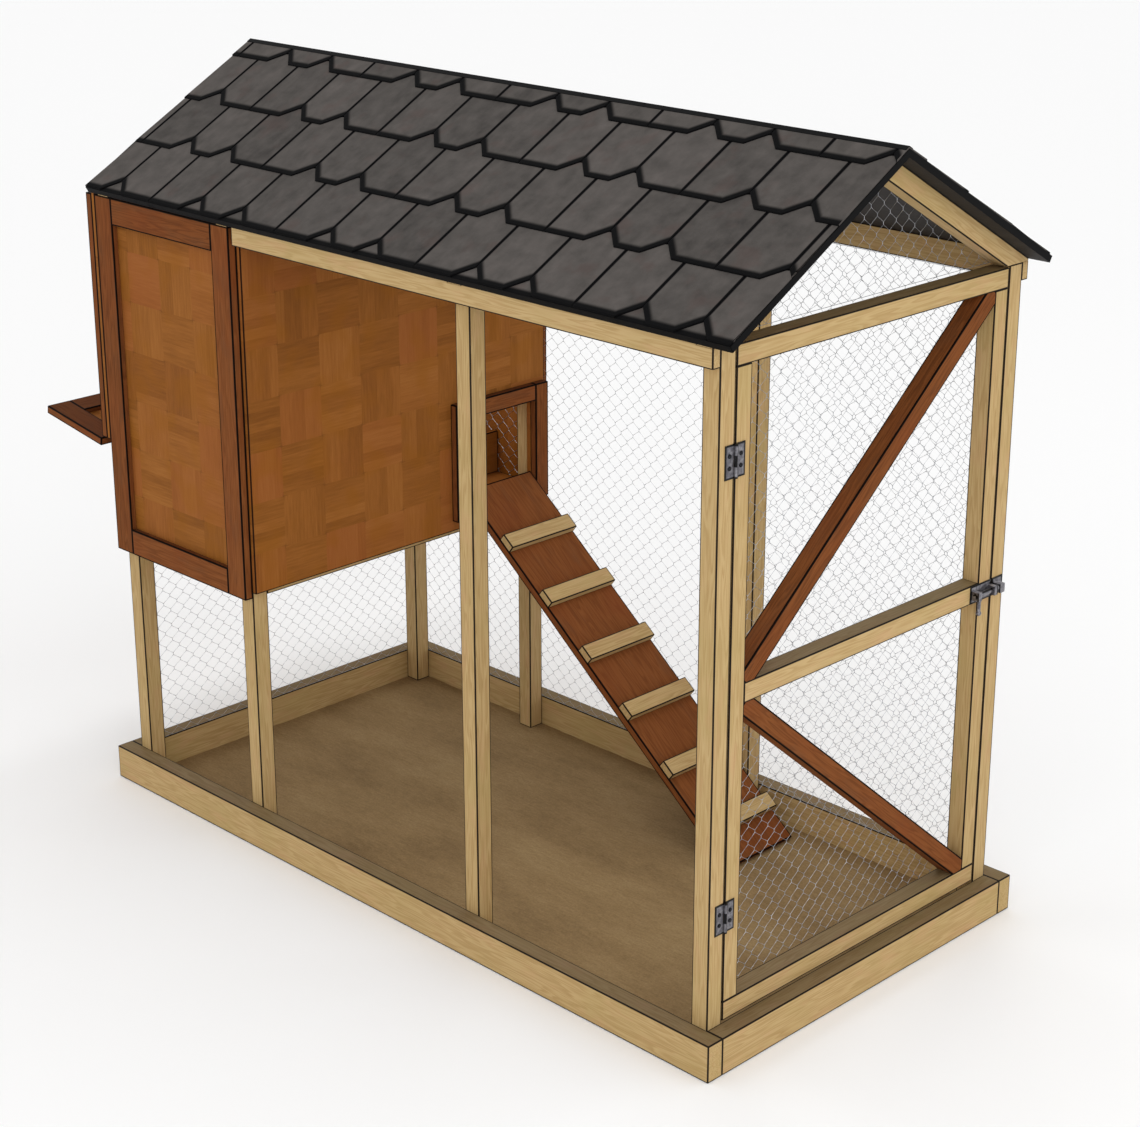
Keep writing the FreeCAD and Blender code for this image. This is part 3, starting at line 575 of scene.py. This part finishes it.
def make_tab(name, clip_left, clip_right):
    """A tab lying flat: its butt at y = 0, its head towards +y, its middle at x = 0."""
    bpy.ops.object.select_all(action="DESELECT")
    bpy.ops.mesh.primitive_plane_add(size=1.0, location=(0, TAB_LENGTH / 2, 0))
    tab = bpy.context.object
    tab.name = name
    tab.scale = (TAB - TAB_GAP, TAB_LENGTH, 1)
    bpy.ops.object.transform_apply(location=True, rotation=False, scale=True)
    bpy.ops.object.mode_set(mode="EDIT")
    bpy.ops.mesh.select_all(action="DESELECT")
    mesh = bmesh.from_edit_mesh(tab.data)
    for vertex in mesh.verts:
        left = vertex.co.x < 0
        vertex.select = vertex.co.y < TAB_LENGTH / 2 and (clip_left if left else clip_right)
    mesh.select_flush(True)
    mesh.select_mode = {"VERT"}
    bmesh.update_edit_mesh(tab.data)
    bpy.ops.mesh.select_mode(type="VERT")
    bpy.ops.mesh.bevel(offset=TAB_CLIP, segments=1, affect="VERTICES")
    bpy.ops.mesh.select_all(action="SELECT")
    bpy.ops.mesh.extrude_region_move(TRANSFORM_OT_translate={"value": (0, 0, TAB_FELT)})
    bpy.ops.mesh.inset(thickness=TAB_ARRIS, depth=0.0007)
    bpy.ops.object.mode_set(mode="OBJECT")
    set_attribute(tab.data, "tab_at", "FLOAT_VECTOR", [part for vertex in tab.data.vertices for part in vertex.co])
    return tab


CLIPPED = {"single": (True, True), "left": (True, False), "right": (False, True)}
TAB_KINDS = {kind: make_tab(f"tab_{kind}", *clips) for kind, clips in CLIPPED.items()}
REPEAT = ("single", "left", "right")
print("tab faces:", {kind: len(tab.data.polygons) for kind, tab in TAB_KINDS.items()})

# %% Lay the courses on both slopes
roof_low, roof_high = (Vector(corner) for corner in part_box("roof_sheet_far"))
ridge_low, ridge_high = (Vector(corner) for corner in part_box("shingles_far"))
PITCH = math.radians(30)
PLY = 0.009
RIDGE_Z = roof_high.z - PLY / math.cos(PITCH)
SLOPE = (roof_high.y - PLY * math.sin(PITCH)) / math.cos(PITCH)
SINGLE_START = 0.279
BUTT_LIFT = PLY + TAB_FELT
HEAD_LIFT = PLY + 0.0003


def tab_place(side, x, down):
    """Where a tab goes: x is its middle, down is its butt's distance from the ridge."""
    tilt = math.atan((BUTT_LIFT - HEAD_LIFT) / TAB_LENGTH)
    up_slope = Vector((0, -side * math.cos(PITCH), math.sin(PITCH)))
    normal = Vector((0, side * math.sin(PITCH), math.cos(PITCH)))
    base = Vector((x, 0, RIDGE_Z)) - up_slope * down + normal * BUTT_LIFT
    y_axis = (up_slope * math.cos(tilt) - normal * math.sin(tilt)).normalized()
    z_axis = (normal * math.cos(tilt) + up_slope * math.sin(tilt)).normalized()
    x_axis = y_axis.cross(z_axis)
    place = Matrix((x_axis, y_axis, z_axis)).transposed().to_4x4()
    place.translation = base
    return place


def lay_tab(kind, place):
    tab = TAB_KINDS[kind].copy()
    tab.data = TAB_KINDS[kind].data.copy()
    bpy.context.collection.objects.link(tab)
    tab.data.transform(place)
    kind_and_seed = [*map(float, CLIPPED[kind]), random.random()]
    set_attribute(tab.data, "tab_kind", "FLOAT_VECTOR", kind_and_seed * len(tab.data.vertices))
    return tab


def trim(piece, point, normal, fill=True):
    """Cuts away what lies beyond point along normal."""
    select_only(piece)
    bpy.ops.object.mode_set(mode="EDIT")
    bpy.ops.mesh.select_all(action="SELECT")
    bpy.ops.mesh.bisect(plane_co=point, plane_no=normal, use_fill=fill, clear_outer=True)
    bpy.ops.object.mode_set(mode="OBJECT")


def shingle_slope(side, name, node):
    tabs = []
    course_butts = [SLOPE - course * TAB_EXPOSURE for course in range(4)]
    for course, down in enumerate([SLOPE + 0.001] + course_butts):
        shift = 0 if course % 2 else 1.5 * TAB
        first = math.floor((roof_low.x - SINGLE_START - shift) / TAB) - 1
        last = math.ceil((roof_high.x - SINGLE_START - shift) / TAB) + 1
        for number in range(first, last):
            x = SINGLE_START + shift + (number + 0.5) * TAB
            place = tab_place(side, -side * x, down)
            if course == 0:
                place.translation -= Vector((0, side * math.sin(PITCH), math.cos(PITCH))) * (TAB_FELT - 0.0004)
            tabs.append(lay_tab(REPEAT[number % len(REPEAT)], place))
    select_only(*tabs)
    bpy.ops.object.join()
    slope = bpy.context.view_layer.objects.active
    slope.name = name
    trim(slope, (roof_low.x + 0.0005, 0, 0), (-1, 0, 0))
    trim(slope, (roof_high.x - 0.0005, 0, 0), (1, 0, 0))
    trim(slope, (0, 0, 0), (0, -side, 0))
    bpy.ops.object.shade_flat()
    return finish_piece(slope, SHINGLE, [node])


slopes = [shingle_slope(1, "felt_tabs_far", "shingles_far"), shingle_slope(-1, "felt_tabs_near", "shingles_near")]
for tab in TAB_KINDS.values():
    bpy.data.objects.remove(tab)
print("shingle faces:", [len(slope.data.polygons) for slope in slopes])

# %% [markdown]
# ## Wire netting
# Poultry netting is woven: wires run side by side, twist together for a short stretch, part, and twist
# with the neighbour on the other side, which leaves six-sided holes. Here one six-sided cell is drawn
# with a circle of six points, repeated by two Array modifiers with merging, cropped to the frame it is
# stapled to, and turned into wire by a Wireframe modifier. Four-sided wires are enough at this size.

# %% Weave the netting
CELL = 0.036                # width of a cell, metres
ROW = 0.0177                # from one row of twists to the next
TWIST = 0.005               # length of a twist
TWIST_THICK = 0.0012
STRAND_SHARE = 0.42         # thickness of a single wire against the twist


def net_cell(name):
    """One six-sided cell in the X-Y plane, its twists upright at both sides. A vertex group marks the
    twist ends, so that the wire can be thinner between them."""
    bpy.ops.object.select_all(action="DESELECT")
    bpy.ops.mesh.primitive_circle_add(vertices=6, radius=1.0, fill_type="NGON", location=(0, 0, 0))
    cell = bpy.context.object
    cell.name = name
    for vertex in cell.data.vertices:
        tip = abs(vertex.co.x) < 0.1
        rise = ROW - TWIST / 2 if tip else TWIST / 2
        vertex.co = Vector((0 if tip else math.copysign(CELL / 2, vertex.co.x), math.copysign(rise, vertex.co.y), 0))
    group = cell.vertex_groups.new(name="twist")
    group.add(range(6), 1.0, "REPLACE")
    bpy.ops.object.mode_set(mode="EDIT")
    bpy.ops.mesh.select_mode(type="EDGE")
    bpy.ops.mesh.select_all(action="DESELECT")
    mesh = bmesh.from_edit_mesh(cell.data)
    for edge in mesh.edges:
        start, end = edge.verts
        edge.select = abs(start.co.x - end.co.x) > CELL / 4
    bmesh.update_edit_mesh(cell.data)
    bpy.ops.mesh.subdivide(number_cuts=1)
    bpy.ops.object.mode_set(mode="OBJECT")
    group.add([vertex.index for vertex in cell.data.vertices if abs(abs(vertex.co.x) - CELL / 4) < 0.001], 0.0, "REPLACE")
    return cell


def repeat(piece, label, offset, count):
    array = piece.modifiers.new(label, "ARRAY")
    array.use_relative_offset = False
    array.use_constant_offset = True
    array.constant_offset_displace = offset
    array.count = count
    array.use_merge_vertices = True
    array.merge_threshold = 0.0005
    select_only(piece)
    bpy.ops.object.modifier_apply(modifier=label)


def netting_sheet(name, node, across, trims=()):
    """A net that stands upright in the middle of its CAD sheet. across is 0 along X or 1 along Y."""
    low, high = (Vector(corner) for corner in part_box(node))
    net = net_cell(name)
    repeat(net, "stagger", (CELL / 2, ROW, 0), 2)
    repeat(net, "across", (CELL, 0, 0), math.ceil((high[across] - low[across]) / CELL) + 2)
    repeat(net, "up", (0, 2 * ROW, 0), math.ceil((high.z - low.z) / (2 * ROW)) + 2)
    middle = (low + high) / 2
    start = Vector((low.x, middle.y, low.z)) if across == 0 else Vector((middle.x, low.y, low.z))
    sideways = Vector((1, 0, 0)) if across == 0 else Vector((0, 1, 0))
    upward = Vector((0, 0, 1))
    stand = Matrix((sideways, upward, sideways.cross(upward))).transposed().to_4x4()
    stand.translation = start - sideways * CELL * 0.7 - upward * ROW
    net.data.transform(stand)
    margin = 0.001
    crops = [(low + sideways * margin, -sideways), (high - sideways * margin, sideways),
             (low + upward * margin, -upward), (high - upward * margin, upward)]
    for point, normal in crops + list(trims):
        trim(net, point, normal, fill=False)
    wire = net.modifiers.new("wire", "WIREFRAME")
    wire.thickness = TWIST_THICK
    wire.vertex_group = "twist"
    wire.thickness_vertex_group = STRAND_SHARE
    wire.use_even_offset = False
    wire.use_boundary = True
    select_only(net)
    bpy.ops.object.modifier_apply(modifier="wire")
    net.vertex_groups.clear()
    bpy.ops.object.shade_flat()
    print(name, "triangles:", sum(len(face.vertices) - 2 for face in net.data.polygons))
    return finish_piece(net, WIRE, [node])


gable_trims = [
    (Vector((0, 0, RIDGE_Z - 0.002)), Vector((0, side * math.sin(PITCH), math.cos(PITCH)))) for side in (-1, 1)
]
netting_sheet("wire_net_far", "netting_far", 0)
netting_sheet("wire_net_nest_end", "netting_nest_end", 1)
netting_sheet("wire_net_gable", "netting_gable", 1, gable_trims)
netting_sheet("wire_net_door", "netting_door", 1)

# %% [markdown]
# ## Hardware
# The hinges and the bolt keep the CAD's true shapes. They are copied like the boards, so that their
# stamped edges are slightly soft. The screw heads are modelled: a disc with a rounded top and a slot.

# %% Hinges, bolt and screws
STAMPED_EDGE = 0.00025
for node, slot in SLOT_OF.items():
    if slot == "zinc_hardware":
        stock(node, ZINC, f"{node}_zinc", STAMPED_EDGE, segments=1)
        bpy.ops.object.shade_smooth_by_angle(angle=math.radians(35))

HEAD_RADIUS = 0.0041
HEAD_RISE = 0.0016
SLOT_WIDTH = 0.0011


def make_screw_head():
    """A round head facing +X with its back at x = 0."""
    bpy.ops.object.select_all(action="DESELECT")
    bpy.ops.mesh.primitive_cylinder_add(
        vertices=24, radius=HEAD_RADIUS, depth=HEAD_RISE, location=(HEAD_RISE / 2, 0, 0), rotation=(0, math.pi / 2, 0),
    )
    head = bpy.context.object
    bpy.ops.object.transform_apply(location=True, rotation=True, scale=True)
    bpy.ops.object.mode_set(mode="EDIT")
    mesh = bmesh.from_edit_mesh(head.data)
    for edge in mesh.edges:
        edge.select = all(vertex.co.x > HEAD_RISE / 2 for vertex in edge.verts)
    bmesh.update_edit_mesh(head.data)
    bpy.ops.mesh.bevel(offset=HEAD_RISE * 0.6, segments=3, affect="EDGES")
    bpy.ops.object.mode_set(mode="OBJECT")
    bpy.ops.mesh.primitive_cube_add(size=1.0, location=(HEAD_RISE, 0, 0))
    blade = bpy.context.object
    blade.scale = (HEAD_RISE, SLOT_WIDTH, HEAD_RADIUS * 3)
    bpy.ops.object.transform_apply(location=True, rotation=False, scale=True)
    cut = head.modifiers.new("slot", "BOOLEAN")
    cut.operation = "DIFFERENCE"
    cut.object = blade
    select_only(head)
    bpy.ops.object.modifier_apply(modifier="slot")
    bpy.data.objects.remove(blade)
    return head


SCREW_HEAD = make_screw_head()


def screw_heads(node, name):
    """One modelled head on each plain head of a CAD node."""
    heads = []
    for mark in solids_of(node, "mark"):
        corners = [vertex.co for vertex in mark.data.vertices]
        centre = sum(corners, Vector()) / len(corners)
        head = SCREW_HEAD.copy()
        head.data = SCREW_HEAD.data.copy()
        bpy.context.collection.objects.link(head)
        turn = Matrix.Rotation(random.uniform(0, math.pi), 4, "X")
        head.data.transform(Matrix.Translation((min(c.x for c in corners), centre.y, centre.z)) @ turn)
        heads.append(head)
        bpy.data.objects.remove(mark)
    heads = join_as(heads, name)
    bpy.ops.object.shade_smooth_by_angle(angle=math.radians(40))
    return finish_piece(heads, SCREW, [node])


screw_heads("hinge_screws_frame", "slotted_screws_frame")
screw_heads("hinge_screws_door", "slotted_screws_door")
bpy.data.objects.remove(SCREW_HEAD)

# %% [markdown]
# ## Roof sheets, drip edges and ridge strip
# The plywood under the shingles and the black edge strips are plain stock, so their CAD shapes stay and
# only get their finishes. The folded strip on the ridge is copied and raised by the thickness that the
# modelled tabs add, so that it lies on top of them.

# %% Finish the CAD pieces that stay
KEPT = {"roof_ply": ROOF_PLY, "black_metal": BLACK}
for node, slot in SLOT_OF.items():
    if slot in KEPT and node != "ridge_cap":
        mesh = frame["nodes"][node].data
        mesh.materials.clear()
        mesh.materials.append(KEPT[slot])
RIDGE_RAISE = 0.0034
RIDGE_SHARE = 0.55      # how much of the stock's width is left after its wings are trimmed
PITCH_RISE = math.tan(math.radians(30))
(ridge_strip,) = solids_of("ridge_cap", "ridge_strip")
for vertex in ridge_strip.data.vertices:
    trimmed = vertex.co.y * (1 - RIDGE_SHARE)
    vertex.co.y -= trimmed
    vertex.co.z += abs(trimmed) * PITCH_RISE
round_edges(ridge_strip, STAMPED_EDGE, segments=1)
ridge_strip.data.transform(Matrix.Translation((0, 0, RIDGE_RAISE)))
finish_piece(ridge_strip, BLACK, ["ridge_cap"])
print("kept:", [node for node, slot in SLOT_OF.items() if slot in KEPT])

# %% [markdown]
# ## Litter on the run floor
# The floor of the run is trodden litter: flat underneath where it lies on the ground, uneven on top. A
# grid is raised to the mat's height and roughened by a Displace modifier, then its edge is drawn down
# to the ground to close it.

# %% Lay the litter
floor_low, floor_high = (Vector(corner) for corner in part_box("run_floor"))
bpy.ops.object.select_all(action="DESELECT")
bpy.ops.mesh.primitive_grid_add(
    x_subdivisions=170, y_subdivisions=84, size=1.0,
    location=((floor_low.x + floor_high.x) / 2, (floor_low.y + floor_high.y) / 2, floor_high.z),
)
mat = bpy.context.object
mat.name = "run_litter"
mat.scale = (floor_high.x - floor_low.x - 0.001, floor_high.y - floor_low.y - 0.001, 1)
bpy.ops.object.transform_apply(location=True, rotation=False, scale=True)
clumps = bpy.data.textures.new("clumps", "CLOUDS")
clumps.noise_scale = 0.03
rough = mat.modifiers.new("rough", "DISPLACE")
rough.texture = clumps
rough.strength = 0.003
rough.mid_level = 0.4
select_only(mat)
bpy.ops.object.modifier_apply(modifier="rough")
bpy.ops.object.mode_set(mode="EDIT")
bpy.ops.mesh.select_all(action="SELECT")
bpy.ops.mesh.extrude_region_move(TRANSFORM_OT_translate={"value": (0, 0, -0.01)})
bpy.ops.object.mode_set(mode="OBJECT")
for vertex in mat.data.vertices:
    if vertex.co.z < floor_high.z - 0.005:
        vertex.co.z = floor_low.z
select_only(mat)
bpy.ops.object.mode_set(mode="EDIT")
bpy.ops.mesh.select_all(action="SELECT")
bpy.ops.mesh.normals_make_consistent(inside=False)
bpy.ops.object.mode_set(mode="OBJECT")
bpy.ops.object.shade_smooth_by_angle(angle=math.radians(50))
finish_piece(mat, LITTER, ["run_floor"])
print("litter faces:", len(mat.data.polygons))

# %% [markdown]
# ## Studio
# A pale floor that carries on as the background, two broad soft lights from above the door end, one
# of them at the camera's corner, two small fills under the run's roof and in the nesting box, and a
# camera that looks down on the door end and the long open side.

# %% Floor, lights and camera
bpy.ops.object.select_all(action="DESELECT")
bpy.ops.mesh.primitive_plane_add(size=60, location=(0, 0, cad_bounds[0][2] - 0.0005))
ground = bpy.context.object
ground.name = "studio_floor"
paper = Finish("studio_paper", Roughness=0.9, Specular_IOR_Level=0.1)
paper.shader.inputs["Base Color"].default_value = (*screen(250, 250, 250), 1.0)
ground.data.materials.append(paper.material)

world = bpy.data.worlds.new("studio_air")
bpy.context.scene.world = world
world.use_nodes = True
world.node_tree.nodes["Background"].inputs["Color"].default_value = (1.0, 1.0, 1.0, 1.0)
world.node_tree.nodes["Background"].inputs["Strength"].default_value = 1.0


def soft_light(name, place, target, size, power):
    light = bpy.data.lights.new(name, "AREA")
    light.shape = "DISK"
    light.size = size
    light.energy = power
    lamp = bpy.data.objects.new(name, light)
    lamp.location = place
    lamp.rotation_euler = (Vector(target) - Vector(place)).to_track_quat("-Z", "Y").to_euler()
    bpy.context.collection.objects.link(lamp)
    return lamp


soft_light("key_light", (4.9, -3.9, 3.1), (0, 0, 0.7), 3.0, 54.0)
soft_light("side_light", (5.0, 0.5, 2.6), (0, 0, 0.7), 3.0, 20.0)
run_low, run_high = (Vector(corner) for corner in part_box("run_floor"))
soft_light("run_fill", (0.2, 0, 1.28), (0.2, 0, run_high.z), 0.6, 1.9).visible_camera = False

nest_low, nest_high = (Vector(corner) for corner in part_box("box_floor"))
fill_data = bpy.data.lights.new("nest_fill", "POINT")
fill_data.energy = 6.0
fill_data.shadow_soft_size = 0.08
fill = bpy.data.objects.new("nest_fill", fill_data)
fill.location = ((nest_low.x + nest_high.x) / 2, 0, nest_high.z + 0.55)
fill.visible_camera = False
bpy.context.collection.objects.link(fill)

camera_data = bpy.data.cameras.new("view_camera")
camera_data.lens = 75.585
camera_data.sensor_width = 36.0
camera_data.shift_x = -0.00677
camera_data.shift_y = -0.0317
camera = bpy.data.objects.new("view_camera", camera_data)
camera.location = (3.3219, -3.2184, 2.3549)
camera.rotation_euler = (math.pi / 2 - 0.342, 0, 2.354 - math.pi / 2)
bpy.context.collection.objects.link(camera)
bpy.context.scene.camera = camera
bpy.context.scene.view_settings.view_transform = "Standard"
